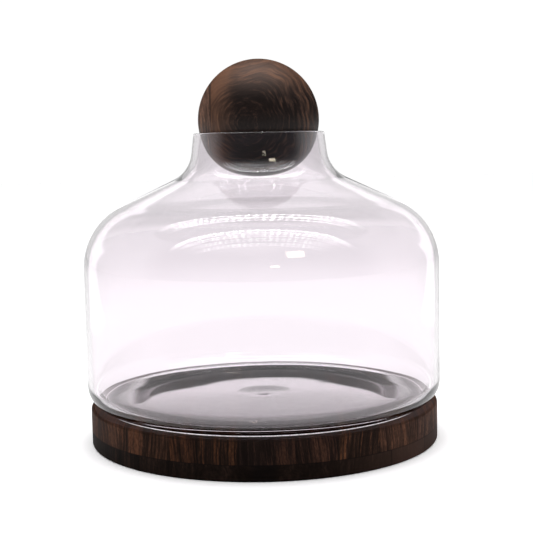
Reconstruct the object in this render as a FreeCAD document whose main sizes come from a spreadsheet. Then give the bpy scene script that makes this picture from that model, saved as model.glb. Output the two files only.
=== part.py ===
import FreeCAD, Part
import math
import os
import Sketcher

# A glass display jar closed by a wooden ball, standing on a round wooden base.
# Millimetres, +Z up. The origin is the centre of the base's underside.
# The base is edge-glued wood in two crossed courses: staves above, boards below.

DIMENSIONS = {
    # wooden base
    "base_radius": 116.0,
    "lower_thickness": 10.0,
    "upper_thickness": 15.0,
    "top_edge_round": 2.0,
    "bottom_edge_round": 1.2,
    "board_count": 8,
    # staves of the upper course, from -X to +X; the last one is what is left
    "stave_width_1": 26.5,
    "stave_width_2": 33.0,
    "stave_width_3": 16.5,
    "stave_width_4": 25.0,
    "stave_width_5": 33.0,
    "stave_width_6": 25.0,
    "stave_width_7": 26.0,
    "stave_width_8": 26.0,
    # glass jar, heights from its foot
    "jar_radius": 118.0,
    "wall": 3.0,
    "heel_round": 14.0,
    "shoulder_height": 119.4,
    "shoulder_round": 46.0,
    "neck_radius": 46.5,
    "neck_height": 153.0,
    "neck_round": 22.0,
    "rim_radius": 43.2,
    "rim_height": 178.2,
    "rim_edge_round": 0.8,
    # mouth, whose melted inner edge carries the ball
    "mouth_radius": 39.1,
    "mouth_round": 1.0,
    # inside of the neck and shoulder
    "inner_neck_radius": 43.2,
    "inner_neck_height": 151.2,
    "inner_shoulder_height": 117.5,
    # floor of the jar: slightly raised underneath, with a faint dip left by the pontil inside
    "foot_radius": 92.0,
    "push_up": 0.4,
    "push_up_radius": 80.0,
    "push_up_round": 200.0,
    "floor_height": 4.0,
    "pontil_radius": 18.0,
    "pontil_flat_radius": 6.0,
    "pontil_depth": 0.15,
    "pontil_round": 300.0,
    # ball stopper, glued up from two blocks; the gap keeps it just clear of the mouth
    "ball_radius": 40.0,
    "side_block_width": 9.5,
    "seat_gap": 0.3,
}
STAVE_COUNT = 9

doc = FreeCAD.newDocument("GlassJar")
sheet = doc.addObject("Spreadsheet::Sheet", "Dims")
for row, (alias, size) in enumerate(DIMENSIONS.items(), start=1):
    sheet.set(f"A{row}", alias)
    sheet.set(f"B{row}", str(size))
    sheet.setAlias(f"B{row}", alias)
doc.recompute()


def signed_sum(words):
    """The number and the expression for signed cells, such as '+jar_radius -wall'."""
    number = 0.0
    terms = []
    for word in words.split():
        sign, alias = word[0], word[1:]
        number += float(sign + "1") * DIMENSIONS[alias]
        terms.append(f"{sign} Dims.{alias}")
    return number, " ".join(terms)


def origin_plane(body, role):
    """One of a body's own origin planes."""
    return next(item for item in body.Origin.OriginFeatures if item.Role == role)


def tangent_points(before, corner, after, radius):
    """Where a rounding leaves the two straight runs that meet at a corner, and its centre."""
    into = (before - corner).normalize()
    out = (after - corner).normalize()
    half_angle = into.getAngle(out) / 2
    reach = radius / math.tan(half_angle)
    middle = (into + out).normalize()
    centre = corner + middle * (radius / math.sin(half_angle))
    return corner + into * reach, corner + out * reach, centre


def rounding_arc(start, end, centre):
    """The short arc between two points about a centre."""
    middle = ((start + end) / 2 - centre).normalize() * start.distanceToPoint(centre)
    return Part.Arc(start, centre + middle, end)


def pin_point(sketch, geometry, position, words, kind, axis):
    """Holds one coordinate of a point: on the axis if it is zero, else at its cells' sum."""
    number, expression = signed_sum(words)
    if not words:
        sketch.addConstraint(Sketcher.Constraint("PointOnObject", geometry, position, axis))
        return
    constraint = Sketcher.Constraint(kind, -1, 1, geometry, position, number)
    index = sketch.addConstraint(constraint)
    sketch.setExpression(f"Constraints[{index}]", expression)


def rounded_outline(body, name, corners):
    """A closed outline in the XZ plane from (x, z, rounding) corners, each given as cells.

    Straight runs join the corners, and a corner with a rounding gets a tangent arc.
    """
    sketch = body.newObject("Sketcher::SketchObject", name)
    sketch.AttachmentSupport = (origin_plane(body, "XZ_Plane"), [""])
    sketch.MapMode = "FlatFace"
    points = []
    for x_words, z_words, _ in corners:
        points.append(FreeCAD.Vector(signed_sum(x_words)[0], signed_sum(z_words)[0], 0))
    count = len(points)
    starts = list(points)
    ends = list(points)
    centres = {}
    for place, (_, _, round_words) in enumerate(corners):
        if not round_words:
            continue
        before = points[place - 1]
        after = points[(place + 1) % count]
        radius = signed_sum(round_words)[0]
        reached = tangent_points(before, points[place], after, radius)
        ends[place], starts[place], centres[place] = reached
    # run number n goes from corner n to corner n + 1
    runs = []
    for place in range(count):
        run = Part.LineSegment(starts[place], ends[(place + 1) % count])
        runs.append(sketch.addGeometry(run, False))
    for place, (x_words, z_words, round_words) in enumerate(corners):
        arriving = runs[place - 1]
        leaving = runs[place]
        if place not in centres:
            sketch.addConstraint(Sketcher.Constraint("Coincident", arriving, 2, leaving, 1))
            pin_point(sketch, leaving, 1, x_words, "DistanceX", -2)
            pin_point(sketch, leaving, 1, z_words, "DistanceY", -1)
            continue
        arc = rounding_arc(ends[place], starts[place], centres[place])
        arc_index = sketch.addGeometry(arc, False)
        start_point = sketch.getPoint(arc_index, 1)
        starts_first = start_point.distanceToPoint(ends[place]) < 1e-6
        first, last = (1, 2) if starts_first else (2, 1)
        sketch.addConstraint(Sketcher.Constraint("Tangent", arriving, 2, arc_index, first))
        sketch.addConstraint(Sketcher.Constraint("Tangent", arc_index, last, leaving, 1))
        number, expression = signed_sum(round_words)
        index = sketch.addConstraint(Sketcher.Constraint("Radius", arc_index, number))
        sketch.setExpression(f"Constraints[{index}]", expression)
        point = sketch.addGeometry(Part.Point(points[place]), True)
        sketch.addConstraint(Sketcher.Constraint("PointOnObject", point, 1, arriving))
        sketch.addConstraint(Sketcher.Constraint("PointOnObject", point, 1, leaving))
        pin_point(sketch, point, 1, x_words, "DistanceX", -2)
        pin_point(sketch, point, 1, z_words, "DistanceY", -1)
    return sketch


def turned_body(label, corners):
    """A body turned about its Z axis from a rounded outline."""
    body = doc.addObject("PartDesign::Body", label)
    sketch = rounded_outline(body, label + "_outline", corners)
    doc.recompute()
    turning = body.newObject("PartDesign::Revolution", label + "_turning")
    turning.Profile = sketch
    turning.ReferenceAxis = (sketch, ["V_Axis"])
    turning.Angle = 360.0
    body.Tip = turning
    return body


def make_glass_jar():
    """The blown jar: foot, heel, wall, shoulder, neck, rim, and back down inside."""
    corners = [
        ("", "+push_up", ""),
        ("+push_up_radius", "+push_up", "+push_up_round"),
        ("+foot_radius", "", ""),
        ("+jar_radius", "", "+heel_round"),
        ("+jar_radius", "+shoulder_height", "+shoulder_round"),
        ("+neck_radius", "+neck_height", "+neck_round"),
        ("+rim_radius", "+rim_height", "+rim_edge_round"),
        ("+mouth_radius", "+rim_height", "+mouth_round"),
        ("+inner_neck_radius", "+inner_neck_height", "+neck_round +wall"),
        ("+jar_radius -wall", "+inner_shoulder_height", "+shoulder_round -wall"),
        ("+jar_radius -wall", "+floor_height", "+heel_round -wall"),
        ("+pontil_radius", "+floor_height", "+pontil_round"),
        ("+pontil_flat_radius", "+floor_height -pontil_depth", "+pontil_round"),
        ("", "+floor_height -pontil_depth", ""),
    ]
    jar = turned_body("glass_jar", corners)
    jar.setExpression("Placement.Base.z", "Dims.lower_thickness + Dims.upper_thickness")
    return jar


def make_course_disc(label, thickness, top_round, bottom_round):
    """The round blank that one course of the base is cut from."""
    corners = [
        ("", "", ""),
        ("+base_radius", "", bottom_round),
        ("+base_radius", thickness, top_round),
        ("", thickness, ""),
    ]
    return turned_body(label, corners)


def make_strip(label, whole, size, place):
    """One glued strip of a turned piece: the whole's share of a plain rectangular strip."""
    blank = doc.addObject("Part::Box", label + "_blank")
    for dimension, expression in zip(("Length", "Width", "Height"), size):
        blank.setExpression(dimension, expression)
    for direction, expression in zip("xyz", place):
        blank.setExpression(f"Placement.Base.{direction}", expression)
    strip = doc.addObject("Part::Common", label)
    strip.Base = whole
    strip.Tool = blank
    return strip


def make_upper_staves():
    """The staves of the upper course, side by side along X and running along Y."""
    disc = make_course_disc("upper_course", "+upper_thickness", "+top_edge_round", "")
    disc.setExpression("Placement.Base.z", "Dims.lower_thickness")
    staves = []
    left_side = "-Dims.base_radius"
    for number in range(1, STAVE_COUNT + 1):
        width = f"Dims.stave_width_{number}"
        if number == STAVE_COUNT:
            width = f"Dims.base_radius - ({left_side})"
        size = (width, "2 * Dims.base_radius", "Dims.upper_thickness")
        place = (left_side, "-Dims.base_radius", "Dims.lower_thickness")
        staves.append(make_strip(f"upper_stave_{number}", disc, size, place))
        left_side += f" + {width}"
    return staves


def make_lower_boards():
    """The equal boards of the lower course, side by side along Y and running along X."""
    disc = make_course_disc("lower_course", "+lower_thickness", "", "+bottom_edge_round")
    boards = []
    width = "2 * Dims.base_radius / Dims.board_count"
    for number in range(1, DIMENSIONS["board_count"] + 1):
        size = ("2 * Dims.base_radius", width, "Dims.lower_thickness")
        front_side = f"-Dims.base_radius + {number - 1} * {width}"
        place = ("-Dims.base_radius", front_side, "0")
        boards.append(make_strip(f"lower_board_{number}", disc, size, place))
    return boards


def make_ball_blocks():
    """The turned ball, resting in the jar's mouth, as the two blocks it is glued from."""
    ball = doc.addObject("Part::Sphere", "turned_ball")
    ball.setExpression("Radius", "Dims.ball_radius")
    bore_widening = "(Dims.inner_neck_radius - Dims.mouth_radius)"
    bore_depth = "(Dims.rim_height - Dims.inner_neck_height)"
    half_edge = f"(45 deg - atan({bore_widening} / {bore_depth}) / 2)"
    seat_radius = f"(Dims.mouth_radius + Dims.mouth_round / tan({half_edge}))"
    reach = "(Dims.ball_radius + Dims.mouth_round + Dims.seat_gap)"
    seat_height = (
        "Dims.lower_thickness + Dims.upper_thickness + Dims.rim_height - Dims.mouth_round"
    )
    rise = f"sqrt({reach} * {reach} - {seat_radius} * {seat_radius})"
    centre_height = f"{seat_height} + {rise}"
    ball.setExpression("Placement.Base.z", centre_height)
    across = "2 * Dims.ball_radius"
    bottom = f"{centre_height} - Dims.ball_radius"
    glue_line = "-Dims.ball_radius + Dims.side_block_width"
    side_size = ("Dims.side_block_width", across, across)
    side_place = ("-Dims.ball_radius", "-Dims.ball_radius", bottom)
    main_size = (f"{across} - Dims.side_block_width", across, across)
    main_place = (glue_line, "-Dims.ball_radius", bottom)
    side_block = make_strip("ball_side_block", ball, side_size, side_place)
    main_block = make_strip("ball_main_block", ball, main_size, main_place)
    return [side_block, main_block]


def check_objects(pieces):
    """Stops if any object failed, or if a piece has no valid solid."""
    for item in doc.Objects:
        if "Invalid" in item.State or "Error" in item.State:
            raise RuntimeError(f"{item.Label} failed to build")
    for piece in pieces:
        if piece.Shape.isNull() or not piece.Shape.isValid() or not piece.Shape.Solids:
            raise RuntimeError(f"{piece.Label} has no valid solid")


pieces = make_lower_boards() + make_upper_staves() + [make_glass_jar()] + make_ball_blocks()
doc.recompute()
check_objects(pieces)
os.makedirs("parts", exist_ok=True)
for piece in pieces:
    piece.Shape.exportStep(f"parts/{piece.Label}.step")
    print(f"{piece.Label}: {piece.Shape.Volume / 1000:.1f} cm3")
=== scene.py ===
import bpy
import math
from mathutils import Matrix, Vector, noise


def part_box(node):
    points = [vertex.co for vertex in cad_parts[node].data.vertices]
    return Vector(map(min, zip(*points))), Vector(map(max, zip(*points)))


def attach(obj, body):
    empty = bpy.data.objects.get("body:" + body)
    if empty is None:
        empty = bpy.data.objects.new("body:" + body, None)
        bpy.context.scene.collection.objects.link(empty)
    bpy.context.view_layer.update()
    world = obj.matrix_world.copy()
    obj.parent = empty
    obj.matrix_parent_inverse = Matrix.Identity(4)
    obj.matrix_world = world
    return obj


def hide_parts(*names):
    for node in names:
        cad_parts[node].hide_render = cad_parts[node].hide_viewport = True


# A blown glass jar closed by a wooden ball, on a round base of glued wood.
# Metres and +Z up. The viewer is on the -Y side.

MM = 0.001
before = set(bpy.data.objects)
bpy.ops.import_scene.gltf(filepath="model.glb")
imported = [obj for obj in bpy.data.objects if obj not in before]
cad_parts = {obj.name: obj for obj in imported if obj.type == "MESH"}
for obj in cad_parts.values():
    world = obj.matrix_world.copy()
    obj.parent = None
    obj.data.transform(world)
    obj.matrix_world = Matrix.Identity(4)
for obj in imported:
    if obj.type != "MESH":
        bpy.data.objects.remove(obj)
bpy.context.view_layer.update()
scene = bpy.context.scene

STAVES = [name for name in sorted(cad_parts) if name.startswith("upper_stave_")]
BOARDS = [name for name in sorted(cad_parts) if name.startswith("lower_board_")]

jar_low, jar_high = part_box("glass_jar")
FOOT = jar_low.z
RIM = jar_high.z
ball_low, ball_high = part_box("ball_main_block")
BALL_CENTRE = Vector((0, 0, (ball_high.z + ball_low.z) / 2))
stave_low, stave_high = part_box("upper_stave_5")
BASE_RADIUS = stave_high.y
BASE_TOP = stave_high.z
SEAM = stave_low.z

# wood grain: noise scales per metre
SLOW_WAVES = 28.0
FINE_LAYERS, BROAD_LAYERS, HAIRLINES = 800.0, 110.0, 2600.0
SLOW_RING_WAVES = 26.0
FINE_RINGS, BROAD_RINGS = 760.0, 130.0


# ---------------------------------------------------------------- shader help

class Graph:
    """Adds shader nodes to a node tree and links them."""

    def __init__(self, tree):
        self.tree = tree
        tree.nodes.clear()

    def add(self, kind, inputs=(), **settings):
        """A node with its settings and its inputs, each a value or another node's socket."""
        node = self.tree.nodes.new(kind)
        for key, value in settings.items():
            setattr(node, key, value)
        pairs = inputs.items() if isinstance(inputs, dict) else enumerate(inputs)
        for socket, value in pairs:
            self.feed(node.inputs[socket], value)
        return node

    def feed(self, socket, value):
        """Sets an input socket to a value, or links it to another node's socket."""
        if isinstance(value, bpy.types.NodeSocket):
            self.tree.links.new(value, socket)
        elif value is not None:
            socket.default_value = value

    def math(self, operation, *values, clamp=False):
        node = self.add("ShaderNodeMath", values, operation=operation, use_clamp=clamp)
        return node.outputs[0]

    def scale(self, vector, factors):
        node = self.add("ShaderNodeVectorMath", (vector, factors), operation="MULTIPLY")
        return node.outputs[0]

    def shift(self, vector, offset):
        node = self.add("ShaderNodeVectorMath", (vector, offset), operation="ADD")
        return node.outputs[0]

    def noise(self, vector, scale, detail=2.0, roughness=0.5):
        inputs = {"Vector": vector, "Scale": scale, "Detail": detail, "Roughness": roughness}
        return self.add("ShaderNodeTexNoise", inputs).outputs[0]

    def split(self, vector):
        """The x, y and z sockets of a vector."""
        return self.add("ShaderNodeSeparateXYZ", (vector,)).outputs

    def join(self, *parts):
        return self.add("ShaderNodeCombineXYZ", parts).outputs[0]

    def ramp(self, value, stops):
        """Value through a colour ramp with (position, grey or colour) stops."""
        node = self.add("ShaderNodeValToRGB", (value,))
        elements = node.color_ramp.elements
        while len(elements) < len(stops):
            elements.new(0.5)
        for element, (position, colour) in zip(elements, stops):
            element.position = position
            if isinstance(colour, (int, float)):
                colour = (colour, colour, colour)
            element.color = (*colour, 1.0)
        return node.outputs[0]

    def mix(self, share, first, second, blend="MIX"):
        """Two colours mixed by a share from 0, the first, to 1, the second."""
        node = self.add("ShaderNodeMix", data_type="RGBA", blend_type=blend)
        self.feed(node.inputs["Factor"], share)
        for name, colour in (("A", first), ("B", second)):
            socket = next(s for s in node.inputs if s.name == name and s.type == "RGBA")
            if isinstance(colour, tuple):
                colour = (*colour, 1.0)
            self.feed(socket, colour)
        return next(s for s in node.outputs if s.type == "RGBA")

    def limits(self, value, low, high, to_low=0.0, to_high=1.0):
        """Value mapped smoothly from one range to another and held inside it."""
        inputs = {"Value": value, "From Min": low, "From Max": high,
                  "To Min": to_low, "To Max": to_high}
        node = self.add("ShaderNodeMapRange", inputs, interpolation_type="SMOOTHSTEP")
        return node.outputs[0]


def new_material(name):
    """An empty material and its graph."""
    material = bpy.data.materials.new(name)
    material.use_nodes = True
    return material, Graph(material.node_tree)


def finish_material(graph, shader):
    graph.add("ShaderNodeOutputMaterial", {"Surface": shader})


def dimmed(colour, factor):
    """A colour times a factor, darker or lighter."""
    return tuple(factor * part for part in colour)


def grey(level):
    return (level, level, level)


# ---------------------------------------------------------------- wood

def glue_lines(graph, place, colour, edges):
    """Darkens thin lines where the piece meets its neighbours, each an (axis, place) plane."""
    parts = graph.split(place)
    for axis, plane in edges:
        gap = graph.math("ABSOLUTE", graph.math("SUBTRACT", parts[axis], plane))
        line = graph.limits(gap, 0.40 * MM, 0.1 * MM, 0.0, 0.55)
        colour = graph.mix(line, colour, (0.004, 0.003, 0.003))
    return colour


def finish_wood(graph, colour, relief, roughness, specular):
    """Oiled wood: the relief, from 0 to 1, lifts the surface and dulls its gloss."""
    rough = graph.math("MULTIPLY_ADD", relief, 0.2, roughness - 0.1)
    bump = graph.add("ShaderNodeBump", {"Strength": 0.4, "Distance": 0.12 * MM,
                                        "Height": relief}).outputs[0]
    shader = graph.add("ShaderNodeBsdfPrincipled", {
        "Base Color": colour, "Roughness": rough, "Normal": bump, "IOR": 1.5,
        "Specular IOR Level": specular}).outputs[0]
    finish_material(graph, shader)


def layered_wood(name, across, tones, seed, lean=0.0, marks=(), edges=(), painted_light_share=None,
                 rim=None, roughness=0.5, specular=0.06):
    """Quarter-sawn wood whose thin layers stand upright, one behind the other along an axis.

    across: axis the layers follow, 0 or 1; tones: dark, middle and streak colours;
    lean: how far the layers tip; marks: wider streaks as (place, half width, strength);
    painted_light_share: how much painted light makes it paler towards +X, as a share;
    rim: height of a top darkened with painted shade.
    """
    material, graph = new_material(name)
    place = graph.add("ShaderNodeTexCoord").outputs["Object"]
    parts = graph.split(place)
    slow = graph.noise(graph.shift(place, (seed, seed, 0)), SLOW_WAVES)
    wander = graph.math("MULTIPLY_ADD", slow, 5 * MM, -2.5 * MM)
    tipped = graph.math("MULTIPLY_ADD", parts[2], lean, parts[across])
    layer = graph.math("ADD", tipped, wander)
    along = graph.math("MULTIPLY", parts[1 - across], 0.02)
    up = graph.math("MULTIPLY", parts[2], 0.05)
    grain = graph.join(layer, along, graph.math("ADD", up, seed))
    fine = graph.noise(grain, FINE_LAYERS, 3.0, 0.6)
    broad = graph.noise(grain, BROAD_LAYERS, 2.0, 0.6)
    shade = graph.math("MULTIPLY_ADD", broad, 0.35, graph.math("MULTIPLY", fine, 0.65))
    dark, middle, light = tones
    colour = graph.ramp(shade, ((0.36, dimmed(dark, 0.55)), (0.46, dark),
                                (0.53, middle), (0.62, light)))
    for centre, half_width, strength in marks:
        away = graph.math("ABSOLUTE", graph.math("SUBTRACT", tipped, centre * MM))
        share = graph.limits(away, half_width * MM, half_width * 0.2 * MM, 0.0, strength)
        share = graph.math("MULTIPLY", share, graph.limits(fine, 0.35, 0.55))
        colour = graph.mix(share, colour, light)
    hairs = graph.noise(graph.join(layer, along, graph.math("MULTIPLY", parts[2], 0.15)),
                        HAIRLINES, 2.0, 0.7)
    colour = graph.mix(graph.limits(hairs, 0.62, 0.40, 0.0, 0.55), colour, dimmed(dark, 0.4))
    # painted light: a pale sheen mixed in towards +X, where the side catches the light
    if painted_light_share:
        share = graph.limits(parts[0], 20 * MM, BASE_RADIUS, 0.0, painted_light_share)
        colour = graph.mix(share, colour, dimmed(light, 3.2))
    colour = glue_lines(graph, place, colour, edges)
    # painted shade: the top edge and top face darkened, where the overhead light would show them
    # paler
    if rim:
        share = graph.limits(parts[2], rim - 1.6 * MM, rim - 0.9 * MM, 0.0, 0.5)
        colour = graph.mix(share, colour, dimmed(dark, 0.3))
    finish_wood(graph, colour, fine, roughness, specular)
    return material


def ringed_wood(name, pith, heart, ring, tones, seed, roughness, specular, edges=()):
    """Dark wood seen on its end: wavering rings about an axis towards the viewer.

    pith: the (x, z) place the rings run around; heart: radius of the dark core;
    ring: their spacing.
    """
    material, graph = new_material(name)
    place = graph.add("ShaderNodeTexCoord").outputs["Object"]
    centred = graph.shift(place, (-pith[0], 0.0, -pith[1]))
    parts = graph.split(centred)
    flat = graph.join(parts[0], graph.math("MULTIPLY", parts[1], 0.12), parts[2])
    slow = graph.noise(graph.shift(flat, (seed, 0, 0)), SLOW_RING_WAVES, 2.0, 0.45)
    wave = graph.math("MULTIPLY_ADD", slow, 26 * MM, -13 * MM)
    out = graph.add("ShaderNodeVectorMath", (graph.join(parts[0], 0.0, parts[2]),),
                    operation="LENGTH").outputs["Value"]
    reach = graph.math("ADD", out, wave)
    # the turn is mirrored top to bottom, so that the rings meet without a seam
    turn = graph.math("ABSOLUTE", graph.math("ARCTAN2", parts[2], parts[0]))
    rings = graph.join(reach, graph.math("MULTIPLY", turn, 3 * MM),
                       graph.math("MULTIPLY_ADD", parts[1], 0.06, seed))
    fine = graph.noise(rings, FINE_RINGS, 3.0, 0.65)
    broad = graph.noise(rings, BROAD_RINGS, 2.0, 0.6)
    phase = graph.math("FRACT", graph.math("DIVIDE", reach, ring))
    late = graph.ramp(phase, ((0.0, 0.2), (0.5, 0.55), (0.85, 1.0), (1.0, 0.2)))
    shade = graph.math("MULTIPLY_ADD", broad, 0.35, graph.math("MULTIPLY", fine, 0.65))
    dark, middle, light = tones
    # dark at the heart; and painted light: paler towards -X and the top, where the ball is lit
    for value, start, end, low, high in (
            (reach, heart, 2.2 * heart, -0.10, 0.02),
            (parts[0], -9 * MM, -20 * MM, 0.0, 0.105),
            (parts[2], 14 * MM, 34 * MM, 0.0, 0.05)):
        shade = graph.math("ADD", shade, graph.limits(value, start, end, low, high))
    colour = graph.ramp(shade, ((0.36, dimmed(dark, 0.6)), (0.47, dark),
                                (0.55, middle), (0.66, light)))
    colour = graph.mix(graph.math("MULTIPLY", late, 0.4), colour, dimmed(dark, 0.5))
    # painted light: the lit left side and top mixed towards the streak colour
    painted_light_share = graph.math("ADD", graph.limits(parts[0], -9 * MM, -27 * MM, 0.0, 0.42),
                      graph.limits(parts[2], 14 * MM, 34 * MM, 0.0, 0.30))
    colour = graph.mix(painted_light_share, colour, light)
    colour = glue_lines(graph, place, colour, edges)
    finish_wood(graph, colour, fine, roughness, specular)
    return material


# each stave from -X to +X: dark, middle and streak tones, lean and wider streaks in mm
STAVE_LOOKS = (
    ((0.054, 0.025, 0.016), (0.113, 0.052, 0.032), (0.192, 0.084, 0.047), 0.05, ()),
    ((0.033, 0.016, 0.010), (0.074, 0.034, 0.022), (0.160, 0.065, 0.034), -0.04, ()),
    ((0.023, 0.011, 0.007), (0.045, 0.020, 0.013), (0.128, 0.050, 0.025), 0.06,
     ((-54.0, 2.0, 0.8),)),
    ((0.019, 0.010, 0.007), (0.038, 0.018, 0.012), (0.115, 0.046, 0.022), -0.05,
     ((-19.0, 2.0, 0.8),)),
    ((0.018, 0.010, 0.008), (0.033, 0.017, 0.013), (0.077, 0.034, 0.022), 0.03, ()),
    ((0.023, 0.012, 0.009), (0.042, 0.020, 0.015), (0.102, 0.046, 0.029), 0.08, ()),
    ((0.031, 0.016, 0.011), (0.058, 0.028, 0.019), (0.205, 0.082, 0.039), -0.08,
     ((43.8, 0.9, 1.0),)),
    ((0.051, 0.025, 0.017), (0.096, 0.046, 0.030), (0.192, 0.084, 0.048), 0.04, ()),
    ((0.064, 0.032, 0.022), (0.120, 0.060, 0.043), (0.218, 0.102, 0.062), -0.03, ()),
)
# two woods that the boards take in turn: dark, middle and streak tones
BOARD_TONES = (
    ((0.013, 0.007, 0.005), (0.020, 0.011, 0.008), (0.034, 0.018, 0.013)),
    ((0.016, 0.009, 0.007), (0.026, 0.014, 0.010), (0.042, 0.022, 0.016)),
)


def dress_base():
    """A wood of its own for each stave and board, with glue lines where they meet."""
    for number, (name, look) in enumerate(zip(STAVES, STAVE_LOOKS)):
        dark, middle, light, lean, marks = look
        low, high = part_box(name)
        edges = ((0, low.x), (0, high.x), (2, SEAM))
        # painted shade darkens each stave's top edge
        wood = layered_wood(name + "_wood", 0, (dark, middle, light), 3.1 + number * 1.7,
                            lean, marks, edges, rim=BASE_TOP)
        dress(name, wood)
    for number, name in enumerate(BOARDS):
        low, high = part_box(name)
        edges = ((1, low.y), (1, high.y), (2, SEAM))
        # painted light makes each board paler towards +X
        wood = layered_wood(name + "_wood", 1, BOARD_TONES[number % 2], 21.3 + number * 2.3,
                            0.0, (), edges, painted_light_share=0.45)
        dress(name, wood)


def dress(name, material):
    """Puts one material on a CAD node."""
    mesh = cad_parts[name].data
    mesh.materials.clear()
    mesh.materials.append(material)


def dress_ball():
    """The ball's two blocks: the main one on its end grain, and a straight-grained side block."""
    glue_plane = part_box("ball_side_block")[1].x
    polish = {"roughness": 0.42, "specular": 0.25}
    pith = (BALL_CENTRE.x - 3.3 * MM, BALL_CENTRE.z - 2 * MM)
    main_tones = ((0.020, 0.011, 0.009), (0.062, 0.032, 0.022), (0.170, 0.078, 0.043))
    side_tones = ((0.080, 0.043, 0.030), (0.180, 0.094, 0.064), (0.330, 0.170, 0.108))
    main = ringed_wood("ball_main_wood", pith, 15 * MM, 2.4 * MM, main_tones, 41.0,
                       edges=((0, glue_plane),), **polish)
    side = layered_wood("ball_side_wood", 0, side_tones, 47.0, lean=0.05,
                        edges=((0, glue_plane),), **polish)
    dress("ball_main_block", main)
    dress("ball_side_block", side)


# ---------------------------------------------------------------- glass

def rounded_profile(corners, step, turn_step):
    """Points (r, z) along an outline whose corners are rounded by tangent arcs.

    step: longest gap along a straight run; turn_step: longest gap round an arc, as an angle.
    """
    points = []
    count = len(corners)
    for place, (r, z, radius) in enumerate(corners):
        corner = Vector((r, z))
        if radius == 0:
            points.append([corner])
            continue
        into = (Vector(corners[place - 1][:2]) - corner).normalized()
        out = (Vector(corners[(place + 1) % count][:2]) - corner).normalized()
        half = into.angle(out) / 2
        reach = radius / math.tan(half)
        centre = corner + (into + out).normalized() * radius / math.sin(half)
        start = corner + into * reach - centre
        turn = start.angle_signed(corner + out * reach - centre)
        steps = max(2, math.ceil(abs(turn) / turn_step))
        arc = []
        for number in range(steps + 1):
            arc.append(centre + Matrix.Rotation(-turn * number / steps, 2) @ start)
        points.append(arc)
    outline = []
    for place, group in enumerate(points):
        outline.extend(group)
        if place + 1 == count:
            break
        run = points[place + 1][0] - group[-1]
        steps = math.ceil(run.length / step)
        for number in range(1, steps):
            outline.append(group[-1] + run * number / steps)
    return outline


# the jar's outline from the foot's centre up and back down inside: radius and height above the
# foot in mm, and the radius that rounds the corner
JAR_CORNERS = (
    (0.0, 0.4, 0), (80.0, 0.4, 200), (92.0, 0.0, 1.5),
    (118.0, 0.0, 14), (118.0, 119.4, 46), (46.5, 153.0, 22),
    (43.2, 178.2, 0.8), (39.1, 178.2, 1.0),
    (43.2, 151.2, 25), (115.0, 117.5, 43), (115.0, 4.0, 11),
    (18.0, 4.0, 300), (6.0, 3.85, 300), (0.0, 3.85, 0),
)
JAR_SEGMENTS = 256


def blown_wave(point, seed):
    """How far the hand-blown surface falls inside its true shape here, from 0 to 1."""
    spot = Vector((point.x * 14, point.y * 14, point.z * 26 + seed))
    return 0.5 + 0.5 * noise.noise(spot)


def free_share(z):
    """How free the hot glass was to move at this height: 0 at the foot and rim, 1 between."""
    above_heel = (z - FOOT - 8 * MM) / (20 * MM)
    below_rim = (RIM - 12 * MM - z) / (15 * MM)
    return min(1.0, max(0.0, above_heel)) * min(1.0, max(0.0, below_rim))


def blown_vertices(outline):
    """The outline turned about the axis, ring by ring, and moved a little into the glass."""
    vertices = []
    for place, point in enumerate(outline):
        if point.x < 0.5 * MM:
            vertices.append(Vector((0, 0, point.y)))
            continue
        before = outline[max(place - 1, 0)]
        after = outline[min(place + 1, len(outline) - 1)]
        along = (after - before).normalized()
        inward = Vector((-along.y, along.x))
        inner = place > len(outline) / 2
        seed, most = (5.0, 0.25 * MM) if inner else (0.0, 0.12 * MM)
        for number in range(JAR_SEGMENTS):
            angle = 2 * math.pi * number / JAR_SEGMENTS
            direction = Vector((math.cos(angle), math.sin(angle), 0))
            spot = direction * point.x + Vector((0, 0, point.y))
            depth = blown_wave(spot, seed) * free_share(point.y) * most
            moved = point + inward * depth
            vertices.append(direction * moved.x + Vector((0, 0, moved.y)))
    return vertices


def turned_faces(rings):
    """Faces over that many rings, which a single point closes at either end."""
    faces = []
    last_ring = 1 + (rings - 1) * JAR_SEGMENTS
    last_point = last_ring + JAR_SEGMENTS
    for number in range(JAR_SEGMENTS):
        following = (number + 1) % JAR_SEGMENTS
        faces.append((0, 1 + following, 1 + number))
        faces.append((last_point, last_ring + number, last_ring + following))
    for ring in range(rings - 1):
        here = 1 + ring * JAR_SEGMENTS
        above = here + JAR_SEGMENTS
        for number in range(JAR_SEGMENTS):
            following = (number + 1) % JAR_SEGMENTS
            faces.append((here + number, here + following, above + following, above + number))
    return faces


def make_jar():
    """The jar as one turned closed skin, a little uneven where hot glass was free to move."""
    corners = [(r * MM, FOOT + z * MM, rounding * MM) for r, z, rounding in JAR_CORNERS]
    outline = rounded_profile(corners, 3 * MM, math.radians(4))
    mesh = bpy.data.meshes.new("jar_glass")
    mesh.from_pydata(blown_vertices(outline), [], turned_faces(len(outline) - 2))
    mesh.validate()
    mesh.shade_smooth()
    jar = bpy.data.objects.new("jar_glass", mesh)
    scene.collection.objects.link(jar)
    mesh.materials.append(glass_material())
    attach(jar, "jar")
    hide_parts("glass_jar")


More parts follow.
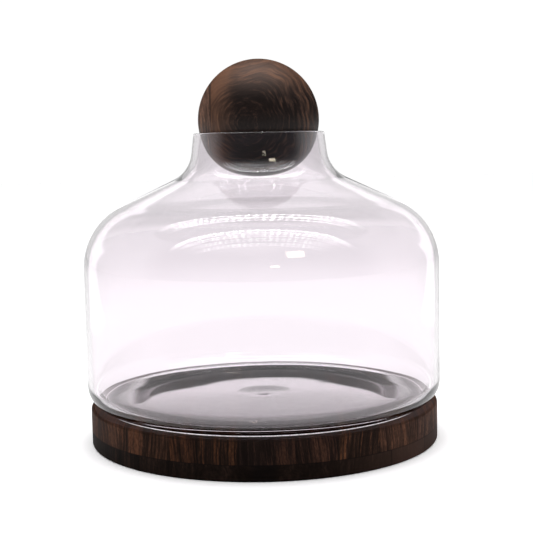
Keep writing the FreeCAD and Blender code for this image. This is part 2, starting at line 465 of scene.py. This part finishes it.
def make_painted_foot_glint():
    """A thin glowing ring where the heel leaves the wood: a painted glint, standing in for the
    light the glass guides there.
    """
    wire = 0.24 * MM
    bpy.ops.mesh.primitive_torus_add(
        major_radius=107.6 * MM, minor_radius=wire, major_segments=256, minor_segments=12,
        location=(0, 0, FOOT + wire))
    ring = bpy.context.object
    ring.name = "jar_foot_painted_glint"
    ring.data.shade_smooth()
    material, graph = new_material("painted_glint_glass")
    place = graph.add("ShaderNodeTexCoord").outputs["Object"]
    grit = graph.noise(place, 900.0, 3.0)  # about a millimetre
    tone = graph.ramp(grit, ((0.35, (0.55, 0.53, 0.55)), (0.6, (0.95, 0.92, 0.95))))
    # painted glint: the ring glows by its own emission, though it is no lamp
    finish_material(graph, graph.add("ShaderNodeBsdfPrincipled", {
        "Base Color": tone, "Roughness": 0.4, "Specular IOR Level": 0.5,
        "Emission Color": tone, "Emission Strength": 0.6}).outputs[0])
    ring.data.materials.append(material)
    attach(ring, "jar")


def glass_material():
    """Clear soda glass with a faint lavender cast and slight ripples."""
    material, graph = new_material("blown_glass")
    place = graph.add("ShaderNodeTexCoord").outputs["Object"]
    cloud = graph.noise(place, 12.0, 2.0)
    tint = graph.mix(cloud, (0.995, 0.946, 0.982), (0.988, 0.955, 0.985))
    ripple = graph.noise(graph.scale(place, (1.0, 1.0, 2.0)), 45.0, 2.0)
    bump = graph.add("ShaderNodeBump", {"Strength": 0.25, "Distance": 0.03 * MM,
                                        "Height": ripple}).outputs[0]
    glass = graph.add("ShaderNodeBsdfPrincipled", {
        "Base Color": tint, "Roughness": 0.0, "IOR": 1.5,
        "Transmission Weight": 1.0, "Normal": bump}).outputs[0]
    clear = graph.add("ShaderNodeBsdfTransparent", {"Color": (0.95, 0.93, 0.95, 1.0)}).outputs[0]
    shadow = graph.add("ShaderNodeLightPath").outputs["Is Shadow Ray"]
    finish_material(graph, graph.add("ShaderNodeMixShader", (shadow, glass, clear)).outputs[0])
    return material


# ---------------------------------------------------------------- stage

def seen_directly(graph):
    """Two sockets: 1 for what is seen through air, and 1 for what is seen through clear glass."""
    path = graph.add("ShaderNodeLightPath").outputs
    bounced = graph.math("ADD", path["Glossy Depth"], path["Diffuse Depth"], clamp=True)
    straight = graph.math("SUBTRACT", 1.0, bounced)
    through = graph.math("MULTIPLY", path["Is Transmission Ray"], straight)
    return path["Is Camera Ray"], through


def make_floor():
    """A wide plain pale floor, overexposed to white for the viewer.

    Wood mirrors a darker floor, and so does glass but for a bright strip well behind the jar.
    """
    half = 6.0
    mesh = bpy.data.meshes.new("floor")
    corners = [(-half, -half, 0), (half, -half, 0), (half, half, 0), (-half, half, 0)]
    mesh.from_pydata(corners, [], [(0, 1, 2, 3)])
    floor = bpy.data.objects.new("floor", mesh)
    scene.collection.objects.link(floor)
    material, graph = new_material("pale_floor")
    place = graph.add("ShaderNodeTexCoord").outputs["Object"]
    away = graph.add("ShaderNodeVectorMath", (place,), operation="LENGTH").outputs["Value"]
    camera, through = seen_directly(graph)
    mottle = graph.math("MULTIPLY_ADD", graph.noise(place, 300.0, 3.0), 0.04, 0.98)
    # painted shade: what the wood gets of the floor, by bounce or sheen, darkens towards the jar
    tone = graph.limits(away, 0.15, 0.6, 0.4, 0.8)
    distant = graph.ramp(graph.math("DIVIDE", away, 4.0), (
        (0.0, 0.79), (0.085, 0.79), (0.155, 0.83), (0.205, 0.86), (0.30, 0.84),
        (0.5, 0.90), (0.7, 0.94)))
    sharp = graph.add("ShaderNodeLightPath").outputs["Is Singular Ray"]
    parts = graph.split(place)
    spread = graph.math("DIVIDE", parts[0], graph.math("ADD", parts[1], 0.76))
    behind = graph.math("MULTIPLY", graph.limits(parts[1], 0.40, 0.50),
                        graph.limits(graph.math("ABSOLUTE", spread), 0.17, 0.13))
    tone = graph.mix(sharp, tone, graph.mix(behind, grey(0.85), grey(2.6)))
    tone = graph.mix(through, tone, distant)
    tone = graph.mix(camera, tone, grey(1.15))
    tone = graph.mix(1.0, tone, mottle, "MULTIPLY")
    shader = graph.add("ShaderNodeBsdfDiffuse", {"Color": tone}).outputs[0]
    finish_material(graph, shader)
    mesh.materials.append(material)


def lamp_strip(graph, parts, elevation, half_length, dots):
    """A dotted lamp strip arching across the sky, as a share of the sky it covers.

    elevation: degrees up from the front horizon; dots: how many per unit of length.
    """
    x, y, z = parts
    deep = graph.math("SQRT", graph.math("SUBTRACT", 1.0, graph.math("MULTIPLY", x, x)))
    along = graph.math("DIVIDE", x, graph.math("MAXIMUM", deep, 0.001))
    rise = graph.math("ARCTAN2", z, graph.math("MULTIPLY", y, -1.0))
    rise = graph.math("MULTIPLY_ADD", graph.math("MULTIPLY", along, along), 0.2, rise)
    away = graph.math("ABSOLUTE", graph.math("SUBTRACT", rise, math.radians(elevation)))
    share = graph.limits(away, math.radians(1.8), math.radians(0.6))
    share = graph.math("MULTIPLY", share, graph.limits(
        graph.math("ABSOLUTE", along), half_length, 0.4 * half_length))
    phase = graph.math("FRACT", graph.math("MULTIPLY_ADD", along, dots, 100.0))
    dot = graph.limits(graph.math("ABSOLUTE", graph.math("SUBTRACT", phase, 0.5)), 0.34, 0.20)
    uneven = graph.noise(graph.join(graph.math("MULTIPLY", along, dots), elevation, 0.0), 0.9)
    dot = graph.math("MULTIPLY", dot, graph.limits(uneven, 0.35, 0.65, 0.25, 1.0))
    return graph.math("MULTIPLY", share, graph.math("MULTIPLY_ADD", dot, 0.8, 0.2))


def lamp_patch(graph, direction, turn, rise, half_width, half_height):
    """A rectangular lamp in the sky, as a share of the sky it covers.

    turn, rise: degrees to the right of the front and up; the halves are seen from 1 away.
    """
    aim = (Matrix.Rotation(math.radians(turn), 3, "Z")
           @ Matrix.Rotation(math.radians(-rise), 3, "X"))
    axes = [aim @ Vector(axis) for axis in ((1, 0, 0), (0, 0, 1), (0, -1, 0))]
    across, up, ahead = [
        graph.add("ShaderNodeVectorMath", (direction, tuple(axis)),
                  operation="DOT_PRODUCT").outputs["Value"] for axis in axes]
    depth = graph.math("MAXIMUM", ahead, 0.001)
    across = graph.math("ABSOLUTE", graph.math("DIVIDE", across, depth))
    up = graph.math("ABSOLUTE", graph.math("DIVIDE", up, depth))
    share = graph.math("MULTIPLY", graph.limits(across, half_width, half_width * 0.92),
                       graph.limits(up, half_height, half_height * 0.92))
    return graph.math("MULTIPLY", share, graph.math("GREATER_THAN", ahead, 0.0))


DARK_FRONT = (0.06, 0.06, 0.065)
WARM_LIGHT = (9.0, 8.2, 6.2)
# dotted strips: elevation in degrees, half length, dots per unit of length, brightness
LAMP_STRIPS = (
    (57, 0.9, 18.0, 7.0), (65, 0.9, 18.0, 9.0), (73, 1.1, 18.0, 13.0), (80, 1.3, 18.0, 28.0),
    (106, 0.8, 24.0, 18.0), (113, 0.9, 24.0, 18.0),
)
# warm lamps: turn and rise in degrees, half width and half height
WARM_LAMPS = ((25, 38, 0.090, 0.075), (9, 21, 0.050, 0.022))


def mirrored_studio(graph, direction, flat, slope):
    """What clear glass mirrors: white walls and lamps, a dark front, a dark curved edge behind.

    flat: the direction's length along the floor; slope: its rise over that length.
    """
    x, y, z = graph.split(direction)
    # on the back wall, a dark edge curves up to both sides under a bright band
    side = graph.math("DIVIDE", x, graph.math("MAXIMUM", y, 0.001))
    side = graph.math("MULTIPLY", side, side)
    rear = graph.math("GREATER_THAN", y, 0.0)
    edge = graph.math("MULTIPLY_ADD", side, 1.45, 0.198)
    below = graph.limits(graph.math("SUBTRACT", slope, edge), 0.002, -0.002)
    below = graph.math("MULTIPLY", below, graph.limits(slope, 0.0, 0.01))
    below = graph.math("MULTIPLY", below, graph.limits(side, 0.026, 0.020))
    below = graph.math("MULTIPLY", below, rear)
    band = graph.limits(slope, 0.205, 0.250, 1.6, 1.0)
    narrow = graph.limits(side, 0.040, 0.026)
    narrow = graph.math("MULTIPLY", narrow, graph.limits(slope, 0.45, 0.30))
    narrow = graph.math("MULTIPLY", narrow, rear)
    walls = graph.limits(slope, 0.5, 1.5, 0.75, 1.0)
    walls = graph.mix(narrow, walls, band)
    studio = graph.mix(below, walls, (0.01, 0.01, 0.012))
    facing = graph.math("DIVIDE", graph.math("MULTIPLY", y, -1.0), flat)
    front = graph.math("MULTIPLY", graph.limits(facing, 0.0, 0.5),
                       graph.limits(slope, 1.3, 0.6))
    studio = graph.mix(front, studio, DARK_FRONT)
    for elevation, half_length, dots, strength in LAMP_STRIPS:
        share = lamp_strip(graph, (x, y, z), elevation, half_length, dots)
        studio = graph.mix(share, studio, grey(strength))
    for lamp in WARM_LAMPS:
        studio = graph.mix(lamp_patch(graph, direction, *lamp), studio, WARM_LIGHT)
    return studio


def make_world():
    """A white studio with a dark opening in front, as each kind of ray meets it."""
    world = bpy.data.worlds.new("white_tent")
    scene.world = world
    world.use_nodes = True
    graph = Graph(world.node_tree)
    direction = graph.add("ShaderNodeTexCoord").outputs["Generated"]
    x, y, z = graph.split(direction)
    flat = graph.add("ShaderNodeVectorMath", (graph.join(x, y, 0.0),),
                     operation="LENGTH").outputs["Value"]
    slope = graph.math("DIVIDE", z, graph.math("MAXIMUM", flat, 0.001))
    ahead = graph.add("ShaderNodeVectorMath", (direction, (0.0, -0.99, 0.1)),
                      operation="DOT_PRODUCT").outputs["Value"]
    opening = graph.limits(ahead, 0.45, 0.9)
    diffuse = graph.mix(opening, grey(1.0), (0.10, 0.10, 0.11))
    mirrored = mirrored_studio(graph, direction, flat, slope)
    # satin wood mirrors a dim room under a pale ceiling
    room = graph.limits(slope, 0.4, 3.0, 0.03, 2.0)
    room = graph.mix(opening, room, DARK_FRONT)
    path = graph.add("ShaderNodeLightPath").outputs
    glossy = graph.mix(path["Is Singular Ray"], room, mirrored)
    # through the glass, the far wall greys a little above the horizon
    fade = graph.ramp(graph.limits(slope, -0.1, 0.1), (
        (0.0, 0.88), (0.4, 0.87), (0.55, 0.66), (0.75, 0.62), (1.0, 0.50)))
    camera, through = seen_directly(graph)
    only_glossy = graph.math("SUBTRACT", path["Glossy Depth"], path["Diffuse Depth"],
                             clamp=True)
    colour = graph.mix(only_glossy, diffuse, glossy)
    colour = graph.mix(through, colour, fade)
    colour = graph.mix(camera, colour, grey(1.02))
    shader = graph.add("ShaderNodeBackground", {"Color": colour, "Strength": 1.0}).outputs[0]
    graph.add("ShaderNodeOutputWorld", {"Surface": shader})


def make_light():
    """A broad overhead light that neither glass nor wood mirrors."""
    lamp = bpy.data.lights.new("top_softbox", "AREA")
    lamp.shape = "RECTANGLE"
    lamp.size = 1.3
    lamp.size_y = 1.3
    lamp.energy = 11
    item = bpy.data.objects.new("top_softbox", lamp)
    item.location = (0, 0.15, 1.3)
    item.rotation_euler = (-item.location).to_track_quat("-Z", "Y").to_euler()
    item.visible_camera = False
    item.visible_glossy = False
    item.visible_transmission = False
    scene.collection.objects.link(item)


def make_camera():
    """The viewer's eye: 9 mm below the rim, tilted down and a degree off level."""
    camera = bpy.data.cameras.new("camera")
    camera.sensor_width = 36.0
    camera.lens = 77.41013
    camera.dof.use_dof = False
    item = bpy.data.objects.new("camera", camera)
    tilt_down = math.radians(6.005)
    roll = math.radians(-1.192)
    forward = Vector((0, math.cos(tilt_down), -math.sin(tilt_down)))
    up = Vector((0, math.sin(tilt_down), math.cos(tilt_down)))
    right = Vector((1, 0, 0))
    across = math.cos(roll) * right + math.sin(roll) * up
    upward = -math.sin(roll) * right + math.cos(roll) * up
    axes = Matrix((across, upward, -forward)).transposed()
    place = Vector((0.0033, -0.76437, 0.19424))
    item.matrix_world = Matrix.Translation(place) @ axes.to_4x4()
    scene.collection.objects.link(item)
    scene.camera = item


scene.view_settings.view_transform = "Standard"
make_camera()
make_world()
make_light()
make_floor()
dress_base()
dress_ball()
make_jar()
make_painted_foot_glint()
